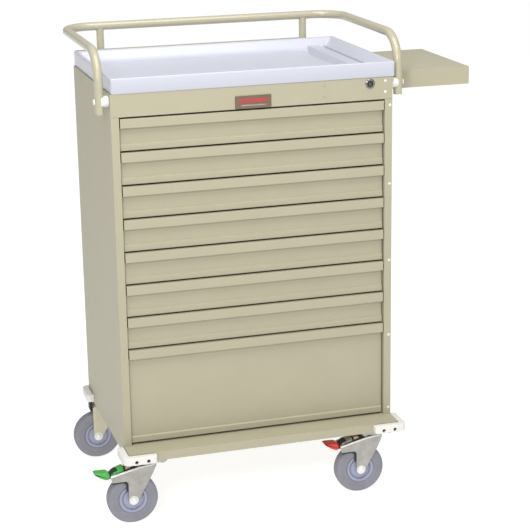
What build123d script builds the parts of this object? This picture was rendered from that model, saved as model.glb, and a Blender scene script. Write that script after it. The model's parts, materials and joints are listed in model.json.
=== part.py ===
from build123d import *
import os
from math import cos, radians, sin

# Medication cart: a sheet-steel cabinet with eight drawers on a caster base. X runs to the right
# of someone facing the drawers, Y towards the back, Z up. The cart is laid out with X = 0 on the
# cabinet's centreline, Y = 0 on its front face and Z = 0 on the floor. At the end everything is
# shifted so that the origin is the middle of the whole cart's footprint, on the floor.

# ---------------------------------------------------------------- driving dimensions (mm)
SHEET = 1.5                 # cabinet sheet
HALF_WIDTH = 343            # cabinet, from the centreline to the outside of a side panel
DEPTH = 450                 # cabinet, front face to back face
BASE_BOTTOM = 163           # underside of the base pan, where the casters are bolted
BASE_TOP = 185
BASE_FRONT = -55            # the base stands out in front of the drawers
CABINET_TOP = 1044

DRAWER_PITCH = 80
SMALL_DRAWERS = 7
DEEP_DRAWER_HEIGHT = 240
DRAWERS_TOP = 990           # top of the drawer stack, underside of the lock panel
DRAWER_GAP = 4
POST_WIDTH = 19             # front flange of a side panel, beside the drawers
DRAWER_BOX_LENGTH = 400
DRAWER_SHEET = 1.2

TRAY_TOP = 1080
RAIL_RADIUS = 10.5
RAIL_HALF_WIDTH = 364       # centreline of the guard rail's side runs
RAIL_Z = 1138
RAIL_BACK = 464
RAIL_FRONT = 20
RAIL_LEG_BOTTOM = 997

SHELF_END = 577             # the outer end of the side shelf, drawn out
SHELF_LENGTH = 294
SHELF_Y = (82, 395)
SHELF_Z = (998.5, 1041)

WHEEL_RADIUS = 62.5         # 5 inch casters
TRAIL = 42                  # kingpin to wheel axle, across the floor
FORK_HALF_WIDTH = 22
FORK_WALL = 3
FORK_BEND_X = -28           # from the kingpin: the fork's legs are straight in front of this
FORK_HEAD_Z = 86            # fork head's top above the axle
AXLE_RADIUS = 6
RUNNING_CLEARANCE = 0.05
KINGPIN_X = 291
KINGPIN_Y = {"front": -21, "rear": 413}

LOCK_X, LOCK_Z = 286, 1029.5
LOCK_TRAVEL = 10            # the lock bar drops this far in a quarter turn of the key

parts = {}


# ---------------------------------------------------------------- helpers
def block(x, y, z):
    """A box between two limits on each axis."""
    size = [abs(limits[1] - limits[0]) for limits in (x, y, z)]
    middle = [(limits[0] + limits[1]) / 2 for limits in (x, y, z)]
    return Pos(*middle) * Box(*size)


def rod(radius, start, end):
    """A cylinder from start to end."""
    start, end = Vector(*start), Vector(*end)
    return Solid.make_cylinder(radius, (end - start).length, Plane(origin=start, z_dir=end - start))


def both_sides(piece):
    """The piece and its mirror image on the other side of the centreline."""
    return [piece, mirror(piece, about=Plane.YZ)]


def group(pieces):
    """Separate solids of one kind, kept in one node."""
    solids = [solid for piece in pieces for solid in piece.solids()]
    return Compound(children=solids)


def prism(points, plane, low, high):
    """A closed outline in the plane, drawn out between two distances along its normal."""
    face = make_face(Polyline(*points, close=True).edges())
    outline = plane.offset(low) * face
    return extrude(outline, amount=high - low, dir=plane.z_dir)


def folded_sheet(points, thickness, plane, low, high):
    """Sheet folded along an open outline, thickened to the outline's left."""
    corners = [Vector(*point) for point in points]
    lefts = [(end - start).normalized().rotate(Axis.Z, 90) for start, end in zip(corners, corners[1:])]
    inside = [corners[0] + lefts[0] * thickness]
    for corner, before, after in zip(corners[1:], lefts, lefts[1:]):
        inside.append(corner + (before + after) * (thickness / (1 + before.dot(after))))
    inside.append(corners[-1] + lefts[-1] * thickness)
    return prism([(corner.X, corner.Y) for corner in corners + inside[::-1]], plane, low, high)


SIDE_VIEW = Plane.YZ        # local x is Y and local y is Z; the normal is +X
FRONT_VIEW = Plane(origin=(0, 0, 0), x_dir=(1, 0, 0), z_dir=(0, -1, 0))   # X and Z; normal -Y


# ---------------------------------------------------------------- cabinet shell
RAIL_BOLT_Z = 1026
RAIL_BOLT_RADIUS = 4
SLOT_Y = (80, 398)
SLOT_BOTTOM = 997


def along_rail_bolt(radius, start_x, end_x):
    """A cylinder on the axis of the bolt through the guard rail's right leg."""
    return rod(radius, (start_x, RAIL_FRONT, RAIL_BOLT_Z), (end_x, RAIL_FRONT, RAIL_BOLT_Z))


def side_panel():
    """Right side: skin, front post with its inner return, and rear flange, folded from one sheet."""
    inside = HALF_WIDTH - SHEET
    opening = HALF_WIDTH - POST_WIDTH
    back = DEPTH - SHEET
    skin = block((inside, HALF_WIDTH), (0, back), (BASE_TOP, CABINET_TOP))
    post = block((opening, HALF_WIDTH), (0, SHEET), (BASE_TOP, DRAWERS_TOP))
    inner_return = block((opening, opening + SHEET), (0, 14), (BASE_TOP, DRAWERS_TOP))
    rear_flange = block((HALF_WIDTH - 18, HALF_WIDTH), (back - SHEET, back), (BASE_TOP, CABINET_TOP))
    panel = skin + post + inner_return + rear_flange
    panel -= block((opening, HALF_WIDTH), (0, SHEET), (DRAWERS_TOP, CABINET_TOP))
    panel -= along_rail_bolt(RAIL_BOLT_RADIUS + RUNNING_CLEARANCE, inside - 1, HALF_WIDTH + 1)
    return panel


right_panel = side_panel()
parts["side_panel_left"] = mirror(right_panel, about=Plane.YZ)
slot = block((HALF_WIDTH - 5, HALF_WIDTH + 1), SLOT_Y, (SLOT_BOTTOM, CABINET_TOP + 1))
parts["side_panel_right"] = right_panel - slot

parts["back_panel"] = block((-HALF_WIDTH, HALF_WIDTH), (DEPTH - SHEET, DEPTH), (BASE_TOP, CABINET_TOP))

TURN_IN = 14                # depth of the lock panel's top and bottom flanges


def lock_panel():
    """The fixed panel above the drawers, with the lock's hole and two pressed dimples."""
    front = block((-HALF_WIDTH, HALF_WIDTH), (0, SHEET), (DRAWERS_TOP, CABINET_TOP))
    flange_x = (-HALF_WIDTH + 3, HALF_WIDTH - 3)
    bottom = block(flange_x, (0, TURN_IN), (DRAWERS_TOP, DRAWERS_TOP + SHEET))
    top = block(flange_x, (0, TURN_IN), (CABINET_TOP - SHEET, CABINET_TOP))
    panel = front + bottom + top
    panel -= rod(10, (LOCK_X, -1, LOCK_Z), (LOCK_X, SHEET + 1, LOCK_Z))
    for dimple_z in (1007, 1033):
        dimple = Pos(171, 1, dimple_z) * Sphere(3)
        panel += dimple & block((160, 180), (-4, SHEET), (dimple_z - 5, dimple_z + 5))
    return panel


parts["lock_panel"] = lock_panel()
parts["top_deck"] = block((-HALF_WIDTH + SHEET, HALF_WIDTH - SHEET), (TURN_IN, DEPTH - 2 * SHEET),
                          (CABINET_TOP - SHEET, CABINET_TOP))


def base_pan():
    """Pan under the cabinet: box sections at the front and back, open underneath in the middle."""
    outer = block((-HALF_WIDTH, HALF_WIDTH), (BASE_FRONT, DEPTH), (BASE_BOTTOM, BASE_TOP))
    outer = fillet(outer.edges().filter_by(Axis.Z), 4)
    wall = 2
    inner = block((-HALF_WIDTH + wall, HALF_WIDTH - wall), (BASE_FRONT + wall, DEPTH - wall),
                  (BASE_BOTTOM + wall, BASE_TOP - wall))
    mouth = block((-HALF_WIDTH + 20, HALF_WIDTH - 20), (60, 335), (BASE_BOTTOM - 1, BASE_TOP - wall))
    return outer - inner - mouth


parts["base_pan"] = base_pan()

# Uprights behind the posts and at the back, which carry the drawer slides.
UPRIGHT_X = HALF_WIDTH - POST_WIDTH
UPRIGHT_Y = ((26, 56), (396, 426))


def upright(y):
    skin = HALF_WIDTH - SHEET
    points = [(skin, y[1]), (UPRIGHT_X, y[1]), (UPRIGHT_X, y[0]), (skin, y[0])]
    return folded_sheet(points, SHEET, Plane.XY, BASE_TOP, DRAWERS_TOP)


front_upright, rear_upright = (upright(y) for y in UPRIGHT_Y)
parts["slide_uprights"] = group(both_sides(front_upright) + both_sides(rear_upright))


# ---------------------------------------------------------------- tray on top
def top_tray():
    """Moulded tray: raised rim, sloping inner walls, a sunk floor and a divider ridge at the right."""
    overhang, wall = 1.5, 4
    rim, wall_run = 6, 36
    floor_z = 1052
    outer_x = HALF_WIDTH + overhang
    middle = Pos(0, DEPTH / 2, 0)
    width, length = 2 * (outer_x - rim), DEPTH + 2 * (overhang - rim)

    def bowl(grow, drop):
        """The hollow between the sloping walls, grown outwards and lowered by a wall's thickness."""
        mouth = RectangleRounded(width + 2 * grow, length + 2 * grow, 12 + grow)
        mouth = Pos(0, 0, TRAY_TOP - drop) * mouth
        floor_size = [side - 2 * wall_run + 2 * grow for side in (width, length)]
        floor = Pos(0, 0, floor_z - drop) * RectangleRounded(*floor_size, 16 + grow)
        return middle * (loft([floor, mouth]) + extrude(mouth, 20))

    outer = block((-outer_x, outer_x), (-overhang, DEPTH + overhang), (CABINET_TOP, TRAY_TOP))
    outer = fillet(outer.edges().filter_by(Axis.Z), 10)
    outer = fillet(outer.edges().group_by(Axis.Z)[-1], 2.5)
    under = block((-outer_x + wall, outer_x - wall), (-overhang + wall, DEPTH + overhang - wall),
                  (CABINET_TOP - 1, TRAY_TOP - wall))
    tray = outer - bowl(0, 0) - (under - bowl(1, wall))

    wall_foot = outer_x - rim - wall_run
    ridge_top = floor_z + 8
    ridge_section = [(wall_foot - 42, floor_z - 1), (wall_foot - 34, ridge_top),
                     (wall_foot - 12, ridge_top), (wall_foot - 8, floor_z - 1)]
    ridge = prism(ridge_section, FRONT_VIEW, -(DEPTH - 58), -58)
    return tray + ridge


parts["top_tray"] = top_tray()


# ---------------------------------------------------------------- guard rail
BEND_FRONT, BEND_BACK = 75, 70
RAIL_WALL = 2
RAIL_BOLT_HEAD = RAIL_HALF_WIDTH + RAIL_RADIUS
SPACER_END = RAIL_HALF_WIDTH - 2    # the spacers cup the rail's legs


def guard_rail():
    """One bent tube: up from the front left, back, across the rear, forward and down on the right."""
    corners = [(-RAIL_HALF_WIDTH, RAIL_FRONT, RAIL_LEG_BOTTOM), (-RAIL_HALF_WIDTH, RAIL_FRONT, RAIL_Z),
               (-RAIL_HALF_WIDTH, RAIL_BACK, RAIL_Z), (RAIL_HALF_WIDTH, RAIL_BACK, RAIL_Z),
               (RAIL_HALF_WIDTH, RAIL_FRONT, RAIL_Z), (RAIL_HALF_WIDTH, RAIL_FRONT, RAIL_LEG_BOTTOM)]
    path = FilletPolyline(*corners, radius=[BEND_FRONT, BEND_BACK, BEND_BACK, BEND_FRONT])
    start = Plane(origin=corners[0], z_dir=(0, 0, 1))
    section = start * (Circle(RAIL_RADIUS) - Circle(RAIL_RADIUS - RAIL_WALL))
    tube = sweep(section, path=path)
    for bore in both_sides(along_rail_bolt(RAIL_BOLT_RADIUS + RUNNING_CLEARANCE, HALF_WIDTH + 1,
                                           RAIL_BOLT_HEAD + 5)):
        tube -= bore
    return tube


parts["guard_rail"] = guard_rail()

POST_X, POST_RADIUS = 269, 9.5
post = rod(POST_RADIUS, (POST_X, RAIL_BACK, 992), (POST_X, RAIL_BACK, RAIL_Z))
post -= rod(RAIL_RADIUS, (POST_X - 30, RAIL_BACK, RAIL_Z), (POST_X + 30, RAIL_BACK, RAIL_Z))
for standoff_z in (1006, 1034):
    post += rod(6, (POST_X, DEPTH, standoff_z), (POST_X, RAIL_BACK, standoff_z))
parts["rail_posts"] = group(both_sides(post))

spacer = along_rail_bolt(13, HALF_WIDTH, SPACER_END)
spacer = fillet(spacer.edges().filter_by(GeomType.CIRCLE), 1.5)
spacer -= along_rail_bolt(RAIL_BOLT_RADIUS + RUNNING_CLEARANCE, HALF_WIDTH - 1, SPACER_END + 1)
spacer -= rod(RAIL_RADIUS + RUNNING_CLEARANCE, (RAIL_HALF_WIDTH, RAIL_FRONT, RAIL_BOLT_Z - 20),
              (RAIL_HALF_WIDTH, RAIL_FRONT, RAIL_BOLT_Z + 20))
parts["rail_spacers"] = group(both_sides(spacer))

bolt = along_rail_bolt(RAIL_BOLT_RADIUS, HALF_WIDTH - 8, RAIL_BOLT_HEAD + 3)
bolt_head = along_rail_bolt(7, RAIL_BOLT_HEAD, RAIL_BOLT_HEAD + 3.5)
bolt_nut = along_rail_bolt(7, HALF_WIDTH - SHEET - 5, HALF_WIDTH - SHEET)
bolt_head = fillet(bolt_head.edges().sort_by(Axis.X)[-1], 2.5)
parts["rail_bolts"] = group(both_sides(bolt + bolt_head + bolt_nut))


# ---------------------------------------------------------------- nameplate and lock
def on_front(x, z, width, height, thickness, corner):
    plate = FRONT_VIEW * Pos(x, z) * RectangleRounded(width, height, corner)
    return extrude(plate, amount=thickness, dir=(0, -1, 0))


parts["nameplate"] = on_front(-4, 1006, 88, 31, 1.5, 2.5)

PLUG_RADIUS = 7.5
housing = rod(9.9, (LOCK_X, -1, LOCK_Z), (LOCK_X, 12, LOCK_Z))
flange = rod(11.5, (LOCK_X, -2.5, LOCK_Z), (LOCK_X, 0, LOCK_Z))
flange = fillet(flange.edges().sort_by(Axis.Y)[0], 1.2)
plug_bore = rod(PLUG_RADIUS + RUNNING_CLEARANCE, (LOCK_X, -3, LOCK_Z), (LOCK_X, 13, LOCK_Z))
parts["lock_housing"] = housing + flange - plug_bore

PIN_RADIUS = 2.5            # crank pin on the back of the lock plug, in the lock bar's slot
BAR_Y = (16, 18)
plug = rod(PLUG_RADIUS, (LOCK_X, -1.5, LOCK_Z), (LOCK_X, 12.5, LOCK_Z))
plug += rod(LOCK_TRAVEL + PIN_RADIUS + 0.3, (LOCK_X, 12.3, LOCK_Z), (LOCK_X, 14.5, LOCK_Z))
plug += rod(PIN_RADIUS, (LOCK_X + LOCK_TRAVEL, 14, LOCK_Z), (LOCK_X + LOCK_TRAVEL, 19.5, LOCK_Z))
KEYWAY = (3, 9)             # width and height of the slot for the key
plug -= block((LOCK_X - KEYWAY[0] / 2, LOCK_X + KEYWAY[0] / 2), (-2, 3),
              (LOCK_Z - KEYWAY[1] / 2, LOCK_Z + KEYWAY[1] / 2))
parts["lock_plug"] = plug


# ---------------------------------------------------------------- drawers
FRONT_HALF_WIDTH = HALF_WIDTH - POST_WIDTH - 2.5
BOX_HALF_WIDTH = 311
BOX_FRONT = 14
RUNNER_HEIGHT = 30          # runner centre above the bottom of the drawer's pitch
CATCH_HEIGHT = 48           # catch centre above the bottom of the drawer's pitch


def drawer_front(bottom, top):
    """Folded front: a pull lip along the top, a set-back panel, and a foot stepped out a little."""
    lip, foot, setback, foot_setback = 22, 16, 11, 8
    points = [(BOX_FRONT, top), (0, top), (0, top - lip), (setback, top - lip - 2), (setback, bottom + foot),
              (foot_setback, bottom + foot - 2), (foot_setback, bottom), (BOX_FRONT, bottom)]
    return folded_sheet(points, DRAWER_SHEET, SIDE_VIEW, -FRONT_HALF_WIDTH, FRONT_HALF_WIDTH)


def drawer_box(bottom, top):
    """Open box, with a runner on each side and the lock's catch on the right."""
    floor, rim = bottom + 6, top - 9
    back = BOX_FRONT + DRAWER_BOX_LENGTH
    box = block((-BOX_HALF_WIDTH, BOX_HALF_WIDTH), (BOX_FRONT, back), (floor, rim))
    inside = BOX_HALF_WIDTH - DRAWER_SHEET
    box -= block((-inside, inside), (BOX_FRONT + DRAWER_SHEET, back - DRAWER_SHEET),
                 (floor + DRAWER_SHEET, rim + 1))
    catch_z = bottom + CATCH_HEIGHT
    box += block((inside, BOX_HALF_WIDTH + 11), (22, 24), (catch_z - 4, catch_z + 4))
    runner_z = (bottom + RUNNER_HEIGHT - 10, bottom + RUNNER_HEIGHT + 10)
    runner = block((BOX_HALF_WIDTH, BOX_HALF_WIDTH + 6), (BOX_FRONT + 12, back), runner_z)
    return group([box] + both_sides(runner))


def cabinet_runner(bottom):
    """The fixed half of a slide: a channel that the drawer's runner travels in."""
    low, high = bottom + RUNNER_HEIGHT - 12.5, bottom + RUNNER_HEIGHT + 12.5
    inner_edge = BOX_HALF_WIDTH + 1.5
    section = [(inner_edge, low), (UPRIGHT_X, low), (UPRIGHT_X, high), (inner_edge, high)]
    return folded_sheet(section, 1.3, FRONT_VIEW, -(BOX_FRONT + DRAWER_BOX_LENGTH + 8), -26)


drawer_bottoms = [DRAWERS_TOP - DRAWER_PITCH * (count + 1) for count in range(SMALL_DRAWERS)]
drawer_bottoms.append(drawer_bottoms[-1] - DEEP_DRAWER_HEIGHT)
drawer_tops = [DRAWERS_TOP] + drawer_bottoms[:-1]

for number, (bottom, top) in enumerate(zip(drawer_bottoms, drawer_tops), start=1):
    parts[f"drawer_front_{number}"] = drawer_front(bottom, top - DRAWER_GAP)
    parts[f"drawer_box_{number}"] = drawer_box(bottom, top)

runners = []
for bottom in drawer_bottoms:
    runners += both_sides(cabinet_runner(bottom))
parts["cabinet_runners"] = group(runners)


def lock_bar():
    """Flat bar behind the right post: a slotted head for the crank pin and a tab for each drawer."""
    bar_x = (BOX_HALF_WIDTH + 12.5, BOX_HALF_WIDTH + 23)
    bar = block(bar_x, BAR_Y, (drawer_bottoms[-1] + 8, 1041))
    bar += block((268, bar_x[1]), BAR_Y, (1018, 1041))
    slot_half_height = PIN_RADIUS + 2.5
    bar -= block((LOCK_X - 8, LOCK_X + 18), (BAR_Y[0] - 1, BAR_Y[1] + 1),
                 (LOCK_Z - slot_half_height, LOCK_Z + slot_half_height))
    for bottom in drawer_bottoms:
        tab_z = bottom + CATCH_HEIGHT + LOCK_TRAVEL - 1
        bar += block((BOX_HALF_WIDTH + 7.5, bar_x[0]), BAR_Y, (tab_z - 3, tab_z + 3))
    return bar


parts["lock_bar"] = lock_bar()


# ---------------------------------------------------------------- side shelf
def side_shelf():
    """Pan with its four edges folded down, drawn out through the slot in the right side."""
    x = (SHELF_END - SHELF_LENGTH, SHELF_END)
    shell = block(x, SHELF_Y, SHELF_Z)
    shell = fillet(shell.edges().filter_by(Axis.Z), 2.5)
    shell = fillet(shell.edges().group_by(Axis.Z)[-1], 1.5)
    hollow = block((x[0] + SHEET, x[1] - SHEET), (SHELF_Y[0] + SHEET, SHELF_Y[1] - SHEET),
                   (SHELF_Z[0] - 1, SHELF_Z[1] - SHEET))
    return shell - hollow


parts["side_shelf"] = side_shelf()


def shelf_guide(shelf_edge, inwards):
    """Angle rail under the deck that carries one edge of the shelf. Inwards is 1 or -1 along Y."""
    rail_x = (50, HALF_WIDTH - SHEET)
    web_y, ledge_end, bottom = shelf_edge - inwards * 5, shelf_edge + inwards * 12, 995
    web = block(rail_x, (web_y, web_y + inwards * SHEET), (bottom, CABINET_TOP - SHEET))
    ledge = block(rail_x, (web_y, ledge_end), (bottom, bottom + SHEET))
    return web + ledge


parts["shelf_guides"] = group([shelf_guide(SHELF_Y[0], 1), shelf_guide(SHELF_Y[1], -1)])


# ---------------------------------------------------------------- bumpers and small fixings
BUMPER_THICKNESS = 17
BUMPER_LEG = 83
BUMPER_Z = (163.5, 183)
BUMPER_SCREW_X = (32, 61)   # screw positions, from the bumper's outer side
BUMPER_SCREW_Z = 171
SCREW_RECESS = 8


def corner_bumper(base_edge, outwards):
    """Right-hand corner buffer, wrapped round the base pan. Outwards is -1 at the front, 1 at the back."""
    outer_x, outer_y = HALF_WIDTH + BUMPER_THICKNESS, base_edge + outwards * BUMPER_THICKNESS
    end_x, end_y = outer_x - BUMPER_LEG, outer_y - outwards * BUMPER_LEG
    body = block((end_x, outer_x), (end_y, outer_y), BUMPER_Z)
    body -= block((end_x - 1, HALF_WIDTH), (end_y - outwards, base_edge), (BASE_BOTTOM - 1, BASE_TOP + 1))
    uprights = body.edges().filter_by(Axis.Z)

    def nearest(x, y):
        return uprights.sort_by_distance((x, y, sum(BUMPER_Z) / 2))[0]

    body = fillet([nearest(end_x, outer_y), nearest(outer_x, end_y)], 6)
    uprights = body.edges().filter_by(Axis.Z)
    body = fillet(nearest(outer_x, outer_y), 16)
    for from_side in BUMPER_SCREW_X:
        x = outer_x - from_side
        body -= rod(4.5, (x, outer_y + outwards, BUMPER_SCREW_Z),
                    (x, outer_y - outwards * SCREW_RECESS, BUMPER_SCREW_Z))
    return body


def bumper_screws(base_edge, outwards):
    """Screw heads at the bottom of a right-hand bumper's recesses."""
    outer_x = HALF_WIDTH + BUMPER_THICKNESS
    bottom_y = base_edge + outwards * (BUMPER_THICKNESS - SCREW_RECESS)
    heads = []
    for x in (outer_x - from_side for from_side in BUMPER_SCREW_X):
        heads.append(rod(4, (x, bottom_y + outwards * 3, BUMPER_SCREW_Z), (x, bottom_y, BUMPER_SCREW_Z)))
    return heads


bumpers, screws = [], []
for base_edge, outwards in ((BASE_FRONT, -1), (DEPTH, 1)):
    bumpers += both_sides(corner_bumper(base_edge, outwards))
    for head in bumper_screws(base_edge, outwards):
        screws += both_sides(head)
parts["corner_bumpers"] = group(bumpers)
parts["bumper_screws"] = group(screws)


def dome(radius, height, plane):
    """A low rivet or screw head standing on the plane."""
    ball_radius = (radius ** 2 + height ** 2) / (2 * height)
    ball = Pos(0, 0, height - ball_radius) * Sphere(ball_radius)
    keep = Pos(0, 0, height) * Box(2 * radius + 1, 2 * radius + 1, 2 * height)
    return plane * (ball & keep)


LOCK_PANEL_RIVETS = [(325, z) for z in (1008, 1034)]
POST_RIVETS = [(337, z) for z in (203, 396, 589, 782, 975)]
parts["panel_rivets"] = group(dome(3.5, 1.5, Plane(origin=(x, 0, z), z_dir=(0, -1, 0)))
                              for x, z in LOCK_PANEL_RIVETS + POST_RIVETS)

SIDE_SCREWS = ((336, 203), (342, 253), (368, 737), (360, 1020))
side_screws = []
for y, z in SIDE_SCREWS:
    side_screws.append(dome(3, 1.2, Plane(origin=(-HALF_WIDTH, y, z), z_dir=(-1, 0, 0))))
    if z < SLOT_BOTTOM:
        side_screws.append(dome(3, 1.2, Plane(origin=(HALF_WIDTH, y, z), z_dir=(1, 0, 0))))
parts["side_screws"] = group(side_screws)


# ---------------------------------------------------------------- casters
# Each caster is drawn with its kingpin on the Z axis and its wheel trailing towards -X.
PLATE_Z = (157, BASE_BOTTOM)
KINGPIN_RADIUS = 8
PEDAL_PIVOT = (-36, 70)     # from the wheel axle
PEDAL_PIN_RADIUS = 3
AXLE_Z = WHEEL_RADIUS
FORK_TOP = AXLE_Z + FORK_HEAD_Z


def caster_plate():
    """Top plate with the fixed bearing race and the kingpin riveted into it."""
    plate = block((-42, 42), (-32, 32), PLATE_Z)
    plate = fillet(plate.edges().filter_by(Axis.Z), 8)
    race = rod(20, (0, 0, FORK_TOP + 0.5), (0, 0, PLATE_Z[0]))
    pin = rod(KINGPIN_RADIUS, (0, 0, FORK_TOP - FORK_WALL - 1), (0, 0, PLATE_Z[0]))
    pin_head = rod(12, (0, 0, FORK_TOP - FORK_WALL - 5), (0, 0, FORK_TOP - FORK_WALL - 0.5))
    return plate + race + pin + pin_head


def plate_bolts():
    heads = []
    for x in (-32, 32):
        for y in (-22, 22):
            head = rod(6.5, (x, y, PLATE_Z[0] - 4.5), (x, y, PLATE_Z[0]))
            heads.append(fillet(head.edges().sort_by(Axis.Z)[0], 2.5))
    return heads


def axle_point(x, z):
    """A point given from the wheel's axle, in the caster's own frame."""
    return (x - TRAIL, z + AXLE_Z)


def across_pedal_pivot(radius, half_length):
    """A cylinder on the axis that a braked caster's pedal tilts about."""
    x, z = axle_point(*PEDAL_PIVOT)
    return rod(radius, (x, -half_length, z), (x, half_length, z))


def fork(with_arm):
    """Pressed fork: two legs joined by a rounded back, with an arm for the pedal on a braked one."""
    leg = 12
    if with_arm:
        left = [(-leg, 0), (-leg, 51), (-51, 51), (-55, 66), (10, 82), (16, FORK_HEAD_Z)]
    else:
        left = [(-leg, 0), (-leg, 78), (-4, FORK_HEAD_Z)]
    head_end = FORK_HALF_WIDTH
    back = TRAIL + head_end
    right = [(back, FORK_HEAD_Z), (back, 82), (45, 53), (27, 25), (leg, 0)]
    outline = [axle_point(*point) for point in left + right]
    limits = (-FORK_HALF_WIDTH, FORK_HALF_WIDTH)
    side = prism(outline, FRONT_VIEW, *limits)
    if with_arm:
        inner_corner = axle_point(-leg, 51)
        edges = side.edges().filter_by(Axis.Y)
        side = fillet(edges.sort_by_distance((inner_corner[0], 0, inner_corner[1]))[0], 8)
    side += rod(leg, (-TRAIL, limits[0], AXLE_Z), (-TRAIL, limits[1], AXLE_Z))

    def plan(wall, low, high):
        """The fork from above, drawn in by a wall: straight legs, and an oval back."""
        half_width = FORK_HALF_WIDTH - wall
        legs = block((-TRAIL - 70, FORK_BEND_X), (-half_width, half_width), (low, high))
        oval = Pos(FORK_BEND_X, 0, low) * Ellipse(head_end - FORK_BEND_X - wall, half_width)
        return legs + extrude(oval, high - low)

    inner = FORK_HALF_WIDTH - FORK_WALL
    shell = side & plan(0, 0, FORK_TOP + 1)
    shell -= plan(FORK_WALL, 0, FORK_TOP - FORK_WALL)
    if with_arm:
        shell -= block((-TRAIL - 70, -TRAIL + 8), (-inner, inner), (0, FORK_TOP + 1))
        shell -= across_pedal_pivot(PEDAL_PIN_RADIUS + RUNNING_CLEARANCE, 30)
    shell -= rod(AXLE_RADIUS + RUNNING_CLEARANCE, (-TRAIL, -30, AXLE_Z), (-TRAIL, 30, AXLE_Z))
    shell -= rod(KINGPIN_RADIUS + RUNNING_CLEARANCE, (0, 0, FORK_TOP - 10), (0, 0, FORK_TOP + 1))
    return shell


def axle():
    """Axle bolt with a domed head at the front and a nut behind."""
    shank = rod(AXLE_RADIUS, (0, -FORK_HALF_WIDTH, 0), (0, FORK_HALF_WIDTH + 7, 0))
    head = rod(8.5, (0, -FORK_HALF_WIDTH - 5, 0), (0, -FORK_HALF_WIDTH, 0))
    head = fillet(head.edges().sort_by(Axis.Y)[0], 3)
    nut = prism([(9 * cos(radians(60 * k)), 9 * sin(radians(60 * k))) for k in range(6)], FRONT_VIEW,
                -FORK_HALF_WIDTH - 6, -FORK_HALF_WIDTH)
    return Pos(-TRAIL, 0, AXLE_Z) * (shank + head + nut)


HUB_RADIUS = 34.5


def turned(points):
    """A ring turned about the wheel's axle, from its half section given as (radius, across)."""
    outline = points + [(radius, -across) for radius, across in reversed(points)]
    face = make_face(Polyline(*outline, close=True).edges())
    ring = revolve(Plane.XY * face, axis=Axis.Y)
    return Pos(-TRAIL, 0, AXLE_Z) * ring


def hub():
    bore = AXLE_RADIUS + RUNNING_CLEARANCE
    return turned([(bore, 17), (12, 17), (13, 12), (24, 12), (25, 10), (27.5, 10), (28.5, 14),
                   (HUB_RADIUS, 14)])


def tyre():
    inner, outer = HUB_RADIUS + RUNNING_CLEARANCE, WHEEL_RADIUS
    return turned([(inner, 14), (38, 16), (54, 16), (58, 15.2), (60.8, 13), (62.1, 10), (outer, 6)])


def pedal():
    """Foot pedal: a tongue in front of the arm and a rocker between the fork's legs."""
    inner_half, tongue_half = 16, 14
    rocker = [(-57, 58.5), (-57, 72), (-46, 81), (-26, 86), (-19, 83), (-20, 72), (-40, 62)]
    tongue = [(-98, 75), (-96, 77.5), (-66, 78), (-57, 73), (-57, 59), (-68, 57), (-84, 65)]
    rocker = prism([axle_point(*point) for point in rocker], FRONT_VIEW, -inner_half, inner_half)
    blade = prism([axle_point(*point) for point in tongue], FRONT_VIEW, -tongue_half, tongue_half)
    tip = [edge for edge in blade.edges().filter_by(Axis.Y) if edge.center().X < -TRAIL - 90]
    blade = fillet(tip, 0.8)
    return rocker + blade + across_pedal_pivot(PEDAL_PIN_RADIUS, FORK_HALF_WIDTH)


CORNERS = {"front_left": (-1, "front"), "front_right": (1, "front"), "rear_left": (-1, "rear"),
           "rear_right": (1, "rear")}
plates, bolts = [], []
for corner, (side, end) in CORNERS.items():
    place = Pos(side * KINGPIN_X, KINGPIN_Y[end], 0)
    plates.append(place * caster_plate())
    bolts += [place * head for head in plate_bolts()]
    parts[f"fork_{corner}"] = place * fork(with_arm=end == "front")
    parts[f"axle_{corner}"] = place * axle()
    parts[f"hub_{corner}"] = place * hub()
    parts[f"tyre_{corner}"] = place * tyre()
    if end == "front":
        parts[f"pedal_{corner}"] = place * pedal()
parts["caster_plates"] = group(plates)
parts["caster_bolts"] = group(bolts)


# ---------------------------------------------------------------- origin and files
whole = group(parts.values()).bounding_box()
to_origin = Pos(-(whole.min.X + whole.max.X) / 2, -(whole.min.Y + whole.max.Y) / 2, 0)
os.makedirs("parts", exist_ok=True)
for name, part in parts.items():
    export_step(to_origin * Compound(children=list(part.solids())), f"parts/{name}.step")
print(len(parts), "nodes, origin shift", tuple(round(value, 3) for value in to_origin.position))
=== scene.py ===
import json
from math import cos, hypot, pi, radians, sin, sqrt

import bmesh
import bpy
from mathutils import Euler, Matrix, Vector


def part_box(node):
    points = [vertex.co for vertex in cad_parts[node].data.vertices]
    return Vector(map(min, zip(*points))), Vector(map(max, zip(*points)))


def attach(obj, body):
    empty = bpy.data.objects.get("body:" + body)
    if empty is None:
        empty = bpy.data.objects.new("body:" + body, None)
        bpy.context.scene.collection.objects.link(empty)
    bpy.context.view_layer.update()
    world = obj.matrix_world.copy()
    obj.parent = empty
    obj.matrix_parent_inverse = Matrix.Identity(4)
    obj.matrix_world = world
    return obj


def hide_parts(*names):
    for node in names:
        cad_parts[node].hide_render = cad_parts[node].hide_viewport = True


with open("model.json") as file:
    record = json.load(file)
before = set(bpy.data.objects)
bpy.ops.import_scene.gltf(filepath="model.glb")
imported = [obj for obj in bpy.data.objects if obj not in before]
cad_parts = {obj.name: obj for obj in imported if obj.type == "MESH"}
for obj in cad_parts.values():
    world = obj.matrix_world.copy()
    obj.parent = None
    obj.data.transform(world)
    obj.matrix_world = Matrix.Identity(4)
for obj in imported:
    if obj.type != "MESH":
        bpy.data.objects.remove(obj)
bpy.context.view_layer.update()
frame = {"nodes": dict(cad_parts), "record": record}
SLOT_OF = {row["node"]: row["material_slot"] for row in frame["record"]["subparts"]}
BODY_OF = {node: body for body, nodes in frame["record"]["behaviour"]["bodies"].items() for node in nodes}

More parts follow.
